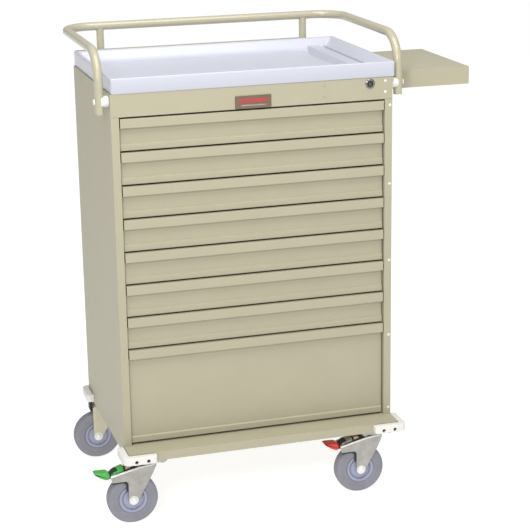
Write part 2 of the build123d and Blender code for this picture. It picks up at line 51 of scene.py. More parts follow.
# The cabinet's centreline and front face place everything. Sizes below are in millimetres.
left_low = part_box("side_panel_left")[0]
right_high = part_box("side_panel_right")[1]
CENTRE = (left_low.x + right_high.x) / 2
FRONT = left_low.y
HALF_WIDTH = (right_high.x - left_low.x) * 500
TO_FRAME = Matrix.Translation((CENTRE, FRONT, 0)) @ Matrix.Scale(0.001, 4)
TO_CART = TO_FRAME.inverted()


def cart_box(node):
    """A CAD node's lowest and highest corners, in millimetres from the cabinet's centreline and front."""
    return [TO_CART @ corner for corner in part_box(node)]


# ---------------------------------------------------------------- camera and lights
CAMERA_PLACE = (-1061.665, -3629.443, 1695.586)
CAMERA_TURN = (73.964219, 0.863910, -16.821156)         # degrees about X, Y and Z
LENS, SENSOR = 111.394, 36
WORLD_STRENGTH = 0.42

scene = bpy.context.scene
scene.view_settings.view_transform = "Standard"
scene.render.film_transparent = False

camera = bpy.data.objects.new("camera", bpy.data.cameras.new("camera"))
scene.collection.objects.link(camera)
camera.location = TO_FRAME @ Vector(CAMERA_PLACE)
camera.rotation_euler = Euler([radians(angle) for angle in CAMERA_TURN], "XYZ")
camera.data.lens, camera.data.sensor_width = LENS, SENSOR
scene.camera = camera

world = bpy.data.worlds.new("studio")
world.use_nodes = True
world.node_tree.nodes["Background"].inputs["Color"].default_value = (1, 1, 1, 1)
world.node_tree.nodes["Background"].inputs["Strength"].default_value = WORLD_STRENGTH
scene.world = world


def softbox(name, place, target, size, power):
    """A square lamp: place and target in millimetres, size in metres, power in watts."""
    light = bpy.data.lights.new(name, "AREA")
    light.shape, light.size, light.energy = "SQUARE", size, power
    lamp = bpy.data.objects.new(name, light)
    lamp.location = TO_FRAME @ Vector(place)
    lamp.rotation_euler = (TO_FRAME @ Vector(target) - lamp.location).to_track_quat("-Z", "Y").to_euler()
    scene.collection.objects.link(lamp)


softbox("overhead", (-100, -800, 3200), (0, 250, 600), 2.0, 76)
softbox("key", (-1900, -3400, 2700), (0, 0, 600), 0.8, 74)
softbox("fill", (900, -3800, 500), (0, 0, 300), 2.0, 8)


# ---------------------------------------------------------------- materials
GRAIN_HEIGHT = 0.05 / 1000
COAT_ROUGHNESS = 0.15
ROUGHNESS_SPREAD = 0.12


def noise(nodes, links, coordinates, scale, detail, stretch=None):
    """A noise texture's value over the object, drawn out along an axis where stretch gives its scale."""
    texture = nodes.new("ShaderNodeTexNoise")
    texture.inputs["Scale"].default_value = scale
    texture.inputs["Detail"].default_value = detail
    source = coordinates.outputs["Object"]
    if stretch:
        mapping = nodes.new("ShaderNodeMapping")
        mapping.inputs["Scale"].default_value = stretch
        links.new(source, mapping.inputs["Vector"])
        source = mapping.outputs["Vector"]
    links.new(source, texture.inputs["Vector"])
    return texture.outputs["Fac"]


def ramp(nodes, links, factor, low, high):
    """Turns a 0 to 1 texture into values or colours between low and high."""
    node = nodes.new("ShaderNodeValToRGB")
    node.color_ramp.elements[0].position, node.color_ramp.elements[1].position = 0.3, 0.7
    for element, value in zip(node.color_ramp.elements, (low, high)):
        element.color = (*value, 1) if hasattr(value, "__len__") else (value, value, value, 1)
    links.new(factor, node.inputs["Fac"])
    return node.outputs["Color"]


def surface(name, colour, rough, metal=0.0, spread=0.02, patch=14, grain=700, bump=0.03,
            stretch=None, coat=0.0, tint=None, specular=0.5, glow=0.0):
    """A finish whose colour drifts in broad patches, with a fine grain in its gloss and its normal.

    Tint, where given, is what the colour drifts towards at its dark end.
    """
    material = bpy.data.materials.new(name)
    material.use_nodes = True
    nodes, links = material.node_tree.nodes, material.node_tree.links
    shader = nodes["Principled BSDF"]
    coordinates = nodes.new("ShaderNodeTexCoord")
    dark = [channel * (1 - spread) for channel in (tint or colour)]
    light = [min(1, channel * (1 + spread)) for channel in colour]
    broad = noise(nodes, links, coordinates, patch, 4)
    links.new(ramp(nodes, links, broad, dark, light), shader.inputs["Base Color"])
    fine = noise(nodes, links, coordinates, grain, 2, stretch)
    smoothest, roughest = rough * (1 - ROUGHNESS_SPREAD), min(1, rough * (1 + ROUGHNESS_SPREAD))
    links.new(ramp(nodes, links, fine, smoothest, roughest), shader.inputs["Roughness"])
    relief = nodes.new("ShaderNodeBump")
    relief.inputs["Strength"].default_value = bump
    relief.inputs["Distance"].default_value = GRAIN_HEIGHT
    links.new(fine, relief.inputs["Height"])
    links.new(relief.outputs["Normal"], shader.inputs["Normal"])
    shader.inputs["Metallic"].default_value = metal
    shader.inputs["Specular IOR Level"].default_value = specular
    shader.inputs["Coat Weight"].default_value = coat
    shader.inputs["Coat Roughness"].default_value = COAT_ROUGHNESS
    shader.inputs["Emission Color"].default_value = (1, 1, 1, 1)
    shader.inputs["Emission Strength"].default_value = glow
    return material


SAND = (0.375, 0.35, 0.25)
MATERIALS = {
    "sand_paint": surface("sand_paint", SAND, 0.45, spread=0.015, grain=900, bump=0.25, specular=0.3),
    "drawer_paint": surface("drawer_paint", (0.45, 0.41, 0.29), 0.5, grain=900, bump=0.25),
    "fork_paint": surface("fork_paint", (0.50, 0.46, 0.34), 0.4, grain=800, bump=0.25),
    "rivet_paint": surface("rivet_paint", (0.70, 0.66, 0.54), 0.35, grain=900, bump=0.2),
    "tray_plastic": surface("tray_plastic", (0.475, 0.485, 0.55), 0.34, spread=0.01, patch=6, grain=500,
                            bump=0.12, coat=0.1),
    "bumper_plastic": surface("bumper_plastic", (0.70, 0.68, 0.645), 0.45, spread=0.01, grain=600, bump=0.2),
    "zinc_steel": surface("zinc_steel", (0.36, 0.35, 0.325), 0.32, metal=0.7, spread=0.06, patch=45,
                          grain=260, bump=0.12, tint=(0.31, 0.30, 0.275)),
    "zinc_sheet": surface("zinc_sheet", (0.56, 0.57, 0.56), 0.42, metal=0.85, spread=0.08, patch=60,
                          grain=300, bump=0.15),
    "lock_chrome": surface("lock_chrome", (0.20, 0.195, 0.18), 0.24, metal=1.0, spread=0.02, grain=900,
                           bump=0.05),
    "dark_steel": surface("dark_steel", (0.035, 0.03, 0.028), 0.45, metal=0.6, grain=900, bump=0.1),
    "plate_metal": surface("plate_metal", (0.17, 0.13, 0.085), 0.42, metal=0.5, spread=0.06, patch=80,
                           grain=420, bump=0.2, stretch=(0.05, 1, 1)),
    "hub_plastic": surface("hub_plastic", (0.285, 0.30, 0.40), 0.42, spread=0.03, patch=50, grain=500,
                           bump=0.15),
    "tyre": surface("tyre", (0.208, 0.206, 0.238), 0.62, spread=0.07, patch=40, grain=420, bump=0.3),
    "pedal_green": surface("pedal_green", (0.045, 0.36, 0.055), 0.3, spread=0.08, patch=60, grain=350,
                           bump=0.15, coat=0.3),
    "pedal_red": surface("pedal_red", (0.62, 0.018, 0.016), 0.3, spread=0.08, patch=60, grain=350,
                         bump=0.15, coat=0.3),
}
EXTRA = {
    "band_enamel": surface("band_enamel", (0.33, 0.03, 0.025), 0.3, spread=0.05, patch=90, grain=500,
                           bump=0.1, coat=0.3),
    # Bright zinc: the axle bolts' finish, and a painted highlight along the braked forks' rolled top edge.
    "bright_zinc_and_highlight": surface("bright_zinc_and_highlight", (0.74, 0.73, 0.70), 0.38, metal=0.2, grain=300, bump=0.1),
    # Black rubber for the swivel stop; the same black also paints the shade inside the forks and in the
    # pedals' slots.
    "black_rubber_and_shade": surface("black_rubber_and_shade", (0.02, 0.02, 0.022), 0.6, spread=0.1, grain=500, bump=0.3),
    "latch_brass": surface("latch_brass", (0.46, 0.33, 0.24), 0.35, metal=0.7, grain=400, bump=0.2),
    "studio_floor": surface("studio_floor", (0.5, 0.5, 0.5), 0.8, spread=0.005, patch=1.5, grain=40,
                            bump=0.05, specular=0.1, glow=0.78),
    # The rail's lighter, glossier coat; on the side shelf's hem it is a slight painted highlight.
    "rail_paint_and_highlight": surface("rail_paint_and_highlight", [channel * 1.05 for channel in SAND], 0.3, spread=0.015, grain=900,
                          bump=0.15, coat=0.25),
}


# ---------------------------------------------------------------- making pieces
SHARP = 40                  # degrees between faces at which shading breaks, unless a piece says otherwise
BEND_ANGLE = 40             # degrees between a CAD node's faces from which their edge is rounded
FLAT_ANGLE = 0.4
MERGE = 0.002


def add_piece(name, mesh_data, body, slot=None, replaces=(), place=TO_FRAME, sharp=SHARP, material=None,
              bevelled=False):
    """Puts a bmesh, given in millimetres, into the scene as one piece that rides on a body."""
    bmesh.ops.transform(mesh_data, matrix=place, verts=mesh_data.verts)
    bmesh.ops.recalc_face_normals(mesh_data, faces=mesh_data.faces)
    mesh = bpy.data.meshes.new(name)
    mesh_data.to_mesh(mesh)
    mesh_data.free()
    mesh.shade_smooth()
    mesh.set_sharp_from_angle(angle=radians(sharp))
    mesh.materials.append(MATERIALS[slot] if material is None else material)
    piece = bpy.data.objects.new(name, mesh)
    scene.collection.objects.link(piece)
    if bevelled:
        weights = piece.modifiers.new("weights", "WEIGHTED_NORMAL")
        weights.keep_sharp = True
    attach(piece, body)
    if replaces:
        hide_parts(*replaces)
    return piece


def softened(node, width, pick=None, segments=3):
    """Stands for a CAD node: the same shape with its edges rounded by width.

    Pick, where given, chooses the edges by their middle and direction.
    """
    made = bmesh.new()
    made.from_mesh(frame["nodes"][node].data)
    bmesh.ops.transform(made, matrix=TO_CART, verts=made.verts)
    bmesh.ops.remove_doubles(made, verts=made.verts, dist=MERGE)
    bmesh.ops.dissolve_limit(made, angle_limit=radians(FLAT_ANGLE), verts=made.verts, edges=made.edges)
    chosen = []
    for edge in made.edges:
        if not edge.is_manifold or edge.calc_face_angle(0) < radians(BEND_ANGLE):
            continue
        along = edge.verts[1].co - edge.verts[0].co
        if pick is None or pick((edge.verts[0].co + edge.verts[1].co) / 2, along):
            chosen.append(edge)
    bmesh.ops.bevel(made, geom=chosen, offset=width, offset_type="OFFSET", segments=segments, profile=0.5,
                    affect="EDGES", clamp_overlap=False)
    add_piece(node + "_finish", made, BODY_OF[node], SLOT_OF[node], (node,), sharp=50, bevelled=True)


TINY = 1e-6
CORNER_SHARE = 0.48         # the most of a side that a corner's curve may take


def rounded(points, radii, steps=5):
    """A closed outline with its corners curved. Radii is one number, or one for each corner."""
    radii = radii if hasattr(radii, "__len__") else [radii] * len(points)
    outline = []
    for index, (corner, radius) in enumerate(zip(points, radii)):
        corner = Vector(corner)
        before, after = Vector(points[index - 1]), Vector(points[(index + 1) % len(points)])
        a, b = before - corner, after - corner
        if radius <= 0:
            outline.append(corner)
            continue
        half = a.angle(b) / 2
        slope_of_half = abs(sin(half)) / max(TINY, cos(half))
        back = min(radius / max(TINY, slope_of_half), a.length * CORNER_SHARE, b.length * CORNER_SHARE)
        start, end = corner + a.normalized() * back, corner + b.normalized() * back
        for step in range(steps + 1):
            t = step / steps
            outline.append(start * (1 - t) ** 2 + corner * 2 * t * (1 - t) + end * t ** 2)
    return outline


def inset(outline, amount):
    """The outline, counter-clockwise, moved inwards. The limit keeps a sharp corner from running away."""
    moved = []
    for index, corner in enumerate(outline):
        before = corner - outline[index - 1]
        after = outline[(index + 1) % len(outline)] - corner
        n1 = Vector((-before.y, before.x)).normalized()
        n2 = Vector((-after.y, after.x)).normalized()
        moved.append(corner + (n1 + n2) * (amount / max(0.3, 1 + n1.dot(n2))))
    return moved


def area(outline):
    """An outline's area, positive where it runs counter-clockwise."""
    return sum(a.x * b.y - b.x * a.y for a, b in zip(outline, outline[1:] + outline[:1])) / 2


def skin(made, rings, caps=True):
    """Joins rings of points, each the same length and closed, into a tube."""
    rows = [[made.verts.new(point) for point in ring] for ring in rings]
    for low, high in zip(rows, rows[1:]):
        for index in range(len(low)):
            after = (index + 1) % len(low)
            made.faces.new((low[index], low[after], high[after], high[index]))
    if caps:
        made.faces.new(rows[0][::-1])
        made.faces.new(rows[-1])
    return rows


def pillow(made, outline, low, high, radius, lift, steps=4):
    """An outline drawn out from low to high, with its rim rounded at both ends.

    Lift turns (x, y, height) into a point.
    """
    if area(outline) < 0:
        outline = outline[::-1]
    levels = []
    for step in range(steps + 1):
        turn = pi / 2 * step / steps
        levels.append((radius * (1 - sin(turn)), radius * (1 - cos(turn))))
    rings = [(low + rise, amount) for amount, rise in levels]
    rings += [(high - rise, amount) for amount, rise in reversed(levels)]
    skin(made, [[lift(point.x, point.y, height) for point in inset(outline, amount)]
                for height, amount in rings])


def lathe(made, profile, lift, segments=96):
    """A closed profile of (radius, along) turned round an axis. Lift turns (x, y, along) into a point."""
    rings = []
    for segment in range(segments):
        turn = 2 * pi * segment / segments
        rings.append([lift(radius * cos(turn), radius * sin(turn), along) for radius, along in profile])
    rows = [[made.verts.new(point) for point in ring] for ring in rings]
    for index, row in enumerate(rows):
        after = rows[(index + 1) % len(rows)]
        for k in range(len(row)):
            m = (k + 1) % len(row)
            made.faces.new((row[k], row[m], after[m], after[k]))
    bmesh.ops.remove_doubles(made, verts=made.verts, dist=0.0005)
    bmesh.ops.dissolve_degenerate(made, edges=made.edges, dist=0.0005)


def across(side, up, k, sides):
    """The direction of a ring's point number k, in the plane of side and up."""
    return side * cos(2 * pi * k / sides) + up * sin(2 * pi * k / sides)


def tube(made, points, radius, sides):
    """A round bar along a line of points, with flat ends."""
    rings, side = [], None
    for index, point in enumerate(points):
        ahead = points[min(index + 1, len(points) - 1)] - points[max(index - 1, 0)]
        ahead.normalize()
        side = ahead.orthogonal() if side is None else side - ahead * side.dot(ahead)
        side.normalize()
        up = ahead.cross(side)
        rings.append([point + across(side, up, k, sides) * radius for k in range(sides)])
    skin(made, rings)


def dome(made, centre, outwards, radius, height, sides=20, steps=5):
    """A low rounded head standing on a surface."""
    outwards = Vector(outwards).normalized()
    side = outwards.orthogonal().normalized()
    up = outwards.cross(side)
    rings = []
    for step in range(steps):
        turn = pi / 2 * step / steps
        reach, rise = radius * cos(turn), height * sin(turn)
        rings.append([Vector(centre) + across(side, up, k, sides) * reach + outwards * rise
                      for k in range(sides)])
    skin(made, rings)


# These lift an outline's (x, y) to a point, with along on the axis in the name.
def through_x(x, y, along):
    return Vector((along, x, y))


def through_y(x, y, along):
    return Vector((x, along, y))


def through_z(x, y, along):
    return Vector((x, y, along))


def on_axis(centre, along_y=True):
    """Lifts (x, y, along) to points round a centre given in the plane across the axis."""
    if along_y:
        return lambda x, y, along: Vector((centre.x + x, along, centre.y + y))
    return lambda x, y, along: Vector((centre.x + x, centre.y + y, along))


def circle(centre_x, centre_y, radius, sides):
    """A round outline, counter-clockwise."""
    turns = [2 * pi * k / sides for k in range(sides)]
    return [Vector((centre_x + radius * cos(turn), centre_y + radius * sin(turn))) for turn in turns]


def cut_away(piece, cutters):
    """Takes the cutters' shape, given in millimetres, out of a piece."""
    bmesh.ops.transform(cutters, matrix=TO_FRAME, verts=cutters.verts)
    bmesh.ops.recalc_face_normals(cutters, faces=cutters.faces)
    mesh = bpy.data.meshes.new("cutter")
    cutters.to_mesh(mesh)
    cutters.free()
    cutter = bpy.data.objects.new("cutter", mesh)
    scene.collection.objects.link(cutter)
    boolean = piece.modifiers.new("cut", "BOOLEAN")
    boolean.object, boolean.operation, boolean.solver = cutter, "DIFFERENCE", "EXACT"
    bpy.context.view_layer.update()
    result = bpy.data.meshes.new_from_object(piece.evaluated_get(bpy.context.evaluated_depsgraph_get()))
    piece.modifiers.clear()
    piece.data = result
    bpy.data.objects.remove(cutter)
    result.shade_smooth()
    result.set_sharp_from_angle(angle=radians(SHARP))


# ---------------------------------------------------------------- cabinet sheet metal
DRAWERS = 8
FRONT_BENDS, BACK_BENDS = 1, 440            # the panels' bends lie before and behind these
PAN_EDGES = (-54.5, 449.5)
DRAWER_FOLDS = 13                           # a drawer front's edges are rounded where they lie before this


def upright_corner(middle, along):
    at_end = middle.y < FRONT_BENDS or middle.y > BACK_BENDS
    return abs(along.z) > 50 and abs(middle.x) > HALF_WIDTH - 1 and at_end


def front_fold(middle, along):
    return abs(along.x) > 100 and middle.y < FRONT_BENDS


def shelf_fold(middle, along):
    return along.length > 20


def pan_rim(middle, along):
    outside = middle.y < PAN_EDGES[0] or middle.y > PAN_EDGES[1] or abs(middle.x) > HALF_WIDTH - 0.5
    return along.length > 100 and outside


def drawer_fold(middle, along):
    return abs(along.x) > 100 and middle.y < DRAWER_FOLDS


for node in ("side_panel_left", "side_panel_right"):
    softened(node, width=1.3, pick=upright_corner)
softened("lock_panel", width=1.2, pick=front_fold)
softened("back_panel", width=0.6)
softened("side_shelf", width=0.6, pick=shelf_fold)
softened("base_pan", width=1.6, pick=pan_rim)
for number in range(1, DRAWERS + 1):
    softened(f"drawer_front_{number}", width=0.9, pick=drawer_fold)

# ---------------------------------------------------------------- tray
tray_low, tray_high = cart_box("top_tray")
TRAY_SHIFT = 4              # the moulding sits this far right of its plain block
TRAY_X = (tray_low.x + tray_high.x) / 2 + TRAY_SHIFT
TRAY_Y = (tray_low.y + tray_high.y) / 2
TRAY_HALF = ((tray_high.x - tray_low.x) / 2, (tray_high.y - tray_low.y) / 2)
RIM = 6
WALL_RUN = 36
TRAY_DEPTH = 28
TRAY_WALL = 2.8
INNER_CORNER = 12
OUTER_CORNER = 4
ROUND_OVER = 2
# Along the right, measured from the tray's middle, are a raised strip, a groove and a step up to the wall.
STRIP_LEFT, STRIP_RIGHT = 262, 299
STEP_LEFT = 305
RAISED = 11
RAISED_SPAN = (252, 312)
END_FOOT = 44               # how far in from the front and back edges the strip's ends stand
CREASES = (258, 301.5)
CREASE_DEPTH = 8
WEDGE = (299, 309)
WEDGE_RUN = 26
WEDGE_DEPTH = 10


def smoothstep(start, end, value):
    t = min(max((value - start) / (end - start), 0), 1)
    return t * t * (3 - 2 * t)


def slope(distance, run=WALL_RUN, top_blend=5, foot_blend=16):
    """How far down a wall is, from 0 at the rim to 1 at the floor, with rounded top and foot."""
    steepest = 1 / (run - top_blend / 2 - foot_blend / 2)
    if distance <= 0:
        return 0.0
    if distance < top_blend:
        return steepest * distance ** 2 / (2 * top_blend)
    if distance < run - foot_blend:
        return steepest * (distance - top_blend / 2)
    if distance < run:
        return 1 - steepest * (run - distance) ** 2 / (2 * foot_blend)
    return 1.0


def inside_rounded(x, y, half_x, half_y, radius):
    """Distance in from the edge of a rounded rectangle; negative outside it."""
    over_x, over_y = abs(x) - (half_x - radius), abs(y) - (half_y - radius)
    return radius - hypot(max(over_x, 0), max(over_y, 0)) - min(max(over_x, over_y), 0)


def bump(middle, half, value):
    """1 at the middle, falling to 0 at half to either side."""
    return max(0, 1 - ((value - middle) / half) ** 2)


def tray_height(x, y):
    """Height above the tray's rim, which is 0, at a place measured from the tray's middle."""
    depth = inside_rounded(x, y, TRAY_HALF[0] - RIM, TRAY_HALF[1] - RIM, INNER_CORNER)
    height = -TRAY_DEPTH * slope(depth)
    ends = smoothstep(-TRAY_HALF[1] + END_FOOT, -TRAY_HALF[1] + END_FOOT + 8, y)
    if RAISED_SPAN[0] < x < RAISED_SPAN[1] and depth > 0:
        strip_end = 1 - smoothstep(STRIP_RIGHT - 2, STRIP_RIGHT, x)
        strip = RAISED * smoothstep(STRIP_LEFT, STRIP_LEFT + 3, x) * strip_end * ends
        step = RAISED * smoothstep(STEP_LEFT, STEP_LEFT + 3, x) * ends
        back = smoothstep(TRAY_HALF[1] - END_FOOT, TRAY_HALF[1] - END_FOOT / 2, y)
        height = max(height, -TRAY_DEPTH + max(strip, step) * (1 - 0.2 * back))
        creases = max(bump(middle, 4, x) for middle in CREASES) * ends
        height -= CREASE_DEPTH * creases * (1 - smoothstep(-4, 6, y - TRAY_HALF[1] + END_FOOT))
    # The groove runs on up the back wall as a narrowing wedge.
    up_wall = (y - (TRAY_HALF[1] - END_FOOT)) / WEDGE_RUN
    if 0 < up_wall < 1:
        left, right = WEDGE[0] + 20 * up_wall, WEDGE[1] + 11 * up_wall
        cut = smoothstep(left - 2, left + 2, x) * (1 - smoothstep(right - 1, right + 1, x))
        height -= WEDGE_DEPTH * cut * (1 - up_wall ** 3)
    edge = inside_rounded(x, y, *TRAY_HALF, OUTER_CORNER)
    if edge < ROUND_OVER:
        height -= ROUND_OVER - sqrt(max(0, ROUND_OVER ** 2 - (ROUND_OVER - max(edge, 0)) ** 2))
    return height


def stations(half, fine_low, fine_high, fine, coarse):
    """Grid lines from -half to half, fine apart within fine_low and fine_high of the ends."""
    places = [-half, -half + 0.5, -half + 1.3, -half + ROUND_OVER, -half + RIM]
    while places[-1] < -half + fine_low:
        places.append(places[-1] + fine)
    while places[-1] < half - fine_high:
        places.append(places[-1] + coarse)
    while places[-1] < half - RIM - fine:
        places.append(places[-1] + fine)
    return places + [half - RIM, half - ROUND_OVER, half - 1.3, half - 0.5, half]


def on_rounded(x, y):
    """A grid point, brought inside the tray's rounded outline."""
    corner = Vector((abs(x) - (TRAY_HALF[0] - OUTER_CORNER), abs(y) - (TRAY_HALF[1] - OUTER_CORNER)))
    if min(corner) > 0 and corner.length > OUTER_CORNER:
        corner *= OUTER_CORNER / corner.length
        x = (TRAY_HALF[0] - OUTER_CORNER + corner.x) * (1 if x > 0 else -1)
        y = (TRAY_HALF[1] - OUTER_CORNER + corner.y) * (1 if y > 0 else -1)
    return x, y


def make_tray():
    """The moulded tray: a sheet in the shape of tray_height, with a skirt, thickened downwards."""
    made = bmesh.new()
    xs = stations(TRAY_HALF[0], fine_low=44, fine_high=92, fine=1.7, coarse=9)
    ys = stations(TRAY_HALF[1], fine_low=54, fine_high=56, fine=1.7, coarse=8)
    grid = []
    for y in ys:
        row = []
        for x in xs:
            px, py = on_rounded(x, y)
            row.append(made.verts.new((TRAY_X + px, TRAY_Y + py, tray_high.z + tray_height(px, py))))
        grid.append(row)
    for low, high in zip(grid, grid[1:]):
        for k in range(len(low) - 1):
            made.faces.new((low[k], low[k + 1], high[k + 1], high[k]))
    border = grid[0] + [row[-1] for row in grid[1:]] + grid[-1][-2::-1] + [row[0] for row in grid[-2:0:-1]]
    above = border
    for level in (tray_high.z - 6, tray_low.z + 1.2, tray_low.z):
        draw_in = 0.8 if level == tray_low.z else 0
        below = []
        for vert in border:
            away = Vector((vert.co.x - TRAY_X, vert.co.y - TRAY_Y))
            below.append(made.verts.new((TRAY_X + away.x * (1 - draw_in / TRAY_HALF[0]),
                                         TRAY_Y + away.y * (1 - draw_in / TRAY_HALF[1]), level)))
        for k in range(len(border)):
            after = (k + 1) % len(border)
            made.faces.new((above[k], above[after], below[after], below[k]))
        above = below
    bmesh.ops.remove_doubles(made, verts=made.verts, dist=0.02)
    bmesh.ops.dissolve_degenerate(made, edges=made.edges, dist=0.01)
    tray = add_piece("tray_moulding", made, "cabinet", "tray_plastic", ("top_tray",), sharp=50)
    wall = tray.modifiers.new("wall", "SOLIDIFY")
    wall.thickness, wall.offset = TRAY_WALL / 1000, -1


make_tray()

# ---------------------------------------------------------------- corner bumpers
bumper_low, bumper_high = cart_box("corner_bumpers")
pan_low, pan_high = cart_box("base_pan")
BUMPER = bumper_high.x - pan_high.x
BUMPER_LEG = 83
HOLD = 1.4                  # how far the buffer is let into the pan's sheet
SCREWS = (32, 61)           # from the buffer's outer side
SCREW_Z = 171
SCREW_HOLE = (4.5, 8)       # radius and depth


def make_bumper(side, end):
    """A rounded L-shaped buffer, with two screw holes in its front or back leg."""
    edge = pan_low.y if end == "front" else pan_high.y
    outwards = -1 if end == "front" else 1
    outer = Vector((pan_high.x + BUMPER, edge + outwards * BUMPER))
    far = outer - Vector((BUMPER_LEG, outwards * BUMPER_LEG))
    points = [(far.x, outer.y), tuple(outer), (outer.x, far.y), (pan_high.x - HOLD, far.y),
              (pan_high.x - HOLD, edge - outwards * HOLD), (far.x, edge - outwards * HOLD)]
    outline = rounded(points, [9, 20, 9, 1, 2, 1], 8)
    outline = [Vector((side * point.x, point.y)) for point in outline]
    made = bmesh.new()
    pillow(made, outline, bumper_low.z, bumper_high.z, 2.4, through_z, 5)
    name = f"bumper_{end}_{'left' if side < 0 else 'right'}"
    bumper = add_piece(name, made, "cabinet", "bumper_plastic", ("corner_bumpers",), sharp=50)
    cutters = bmesh.new()
    for from_side in SCREWS:
        x = side * (outer.x - from_side)
        low, high = sorted((outer.y + outwards, outer.y - outwards * SCREW_HOLE[1]))
        hole = circle(x, SCREW_Z, SCREW_HOLE[0], 32)
        skin(cutters, [[through_y(point.x, point.y, y) for point in hole] for y in (low, high)])
    cut_away(bumper, cutters)


for side in (-1, 1):
    for end in ("front", "rear"):
        make_bumper(side, end)

# ---------------------------------------------------------------- nameplate, lock and small fixings
plate_low, plate_high = cart_box("nameplate")


def make_nameplate():
    """A plain plate with a raised rim and a plain enamel band: it carries no lettering."""
    middle_x, middle_z = (plate_low.x + plate_high.x) / 2, (plate_low.z + plate_high.z) / 2
    half_x = (plate_high.x - plate_low.x) / 2
    face = plate_low.y

    def panel(x_reach, low_z, high_z, corner):
        points = [(middle_x - x_reach, low_z), (middle_x + x_reach, low_z), (middle_x + x_reach, high_z),
                  (middle_x - x_reach, high_z)]
        return rounded(points, corner)

    made = bmesh.new()
    pillow(made, panel(half_x, plate_low.z, plate_high.z, 2.5), face + 0.3, plate_high.y, 0.4, through_y)
    outer = panel(half_x - 1, plate_low.z + 1, plate_high.z - 1, 2)
    path = [through_y(point.x, point.y, face + 0.4) for point in outer]
    tube(made, path + path[:1], 0.7, 8)
    add_piece("nameplate_plain", made, "cabinet", "plate_metal", ("nameplate",))
    band = bmesh.new()
    pillow(band, panel(half_x - 9, middle_z - 2.5, middle_z + 8.5, 3), face - 0.5, face + 0.6, 0.5, through_y)
    add_piece("nameplate_band", band, "cabinet", material=EXTRA["band_enamel"])
    line = bmesh.new()
    pillow(line, panel(half_x - 14, middle_z - 9, middle_z - 6.5, 1), face - 0.1, face + 0.6, 0.3, through_y)
    add_piece("nameplate_line", line, "cabinet", "zinc_steel")


make_nameplate()

lock_low, lock_high = cart_box("lock_housing")
LOCK = Vector(((lock_low.x + lock_high.x) / 2, (lock_low.z + lock_high.z) / 2))
LOCK_FACE = 7.2             # the plug's radius where it shows
KEYWAY_HALF = 5
KEYWAY_RIMS = (1.6, 1.7)    # from the middle, at the foot and at the top
RIM_HALF = 0.7


def make_lock():
    made = bmesh.new()
    section = [(7.55, lock_low.y + 0.2), (9.6, lock_low.y - 0.1), (11.5, lock_low.y + 1.1), (11.5, 0),
               (9.9, 0.02), (9.9, lock_high.y), (7.55, lock_high.y)]
    profile = rounded(section, [0.3, 0.8, 0.5, 0, 0, 0, 0], 4)
    lathe(made, [(point.x, point.y) for point in profile], on_axis(LOCK), 64)
    add_piece("lock_ring", made, "cabinet", "lock_chrome", ("lock_housing",), sharp=35)
    # The plug's face is near-black, painted shade for the dark of the keyhole; the keyway's chrome rims stand
    # in front of it.
    face = bmesh.new()
    depth = lock_low.y + 1
    rim = circle(0, 0, LOCK_FACE, 48)
    skin(face, [[on_axis(LOCK)(point.x * shrink, point.y * shrink, y) for point in rim]
                for shrink, y in ((1, depth + 0.5), (1, depth - 0.2), (0.95, depth - 0.4))])
    add_piece("lock_face_keyhole_shade", face, "lock_plug", "dark_steel")
    rims = bmesh.new()
    for sign in (-1, 1):
        foot, top = (LOCK.x + sign * away for away in KEYWAY_RIMS)
        points = [(foot - RIM_HALF, LOCK.y - KEYWAY_HALF), (foot + RIM_HALF, LOCK.y - KEYWAY_HALF),
                  (top + RIM_HALF, LOCK.y + KEYWAY_HALF), (top - RIM_HALF, LOCK.y + KEYWAY_HALF)]
        pillow(rims, rounded(points, 0.6, 3), depth - 0.75, depth - 0.3, 0.15, through_y, 2)
    add_piece("lock_keyway_rim", rims, "lock_plug", "lock_chrome")


make_lock()


def make_back_rivets(back):
    rivets = bmesh.new()
    places = [(x, z) for z in range(210, 1040, 136) for x in (-HALF_WIDTH + 9, HALF_WIDTH - 9)]
    places += [(x, 196) for x in (-228, -114, 0, 114, 228)]
    for x, z in places:
        dome(rivets, (x, back, z), (0, 1, 0), 3.4, 1.4)
    add_piece("back_rivets", rivets, "cabinet", "sand_paint", sharp=60)


def make_back_seams(back):
    seams = bmesh.new()
    for x in (-HALF_WIDTH + 18, HALF_WIDTH - 18):
        corners = [(x - 0.9, back), (x + 0.9, back), (x + 0.9, back + 0.5), (x - 0.9, back + 0.5)]
        pillow(seams, rounded(corners, 0.4, 2), 190, 1040, 0.2, through_z, 2)
    add_piece("back_seams", seams, "cabinet", "sand_paint")


def make_rear_edge_strip():
    """The strip that stands behind the tray's back edge."""
    strip = bmesh.new()
    near, far = tray_high.y + 0.1, tray_high.y + 1.6
    foot, top = tray_low.z - 30, tray_high.z + 2
    outline = rounded([(near, foot), (far, foot), (far, top), (near, top)], 0.5, 3)
    pillow(strip, outline, -HALF_WIDTH + 6, HALF_WIDTH - 70, 0.4, through_x, 2)
    add_piece("rear_edge_strip", strip, "cabinet", "sand_paint")


def make_shelf_hem():
    """The rolled edge along the front and the outer end of the side shelf's top."""
    shelf_low, shelf_high = cart_box("side_shelf")
    hem = bmesh.new()
    far, near, top = shelf_high.x - 0.9, shelf_low.y + 0.9, shelf_high.z - 0.9
    places = ((shelf_low.x + 4, near), (far - 3, near), (far - 1, near + 1), (far, near + 3),
              (far, shelf_high.y - 4))
    tube(hem, [Vector((x, y, top)) for x, y in places], 1.2, 10)
    # The hem takes the rail's slightly lighter paint, a slight painted highlight along the shelf's fold.
    add_piece("side_shelf_hem", hem, "side_shelf", material=EXTRA["rail_paint_and_highlight"])


def make_base_bolts():
    bolts = bmesh.new()
    for x in (-259, 305):
        for y in (-40, 434):
            dome(bolts, (x, y, pan_low.z), (0, 0, -1), 7, 5.5)
    add_piece("base_bolts", bolts, "cabinet", "fork_paint", sharp=60)


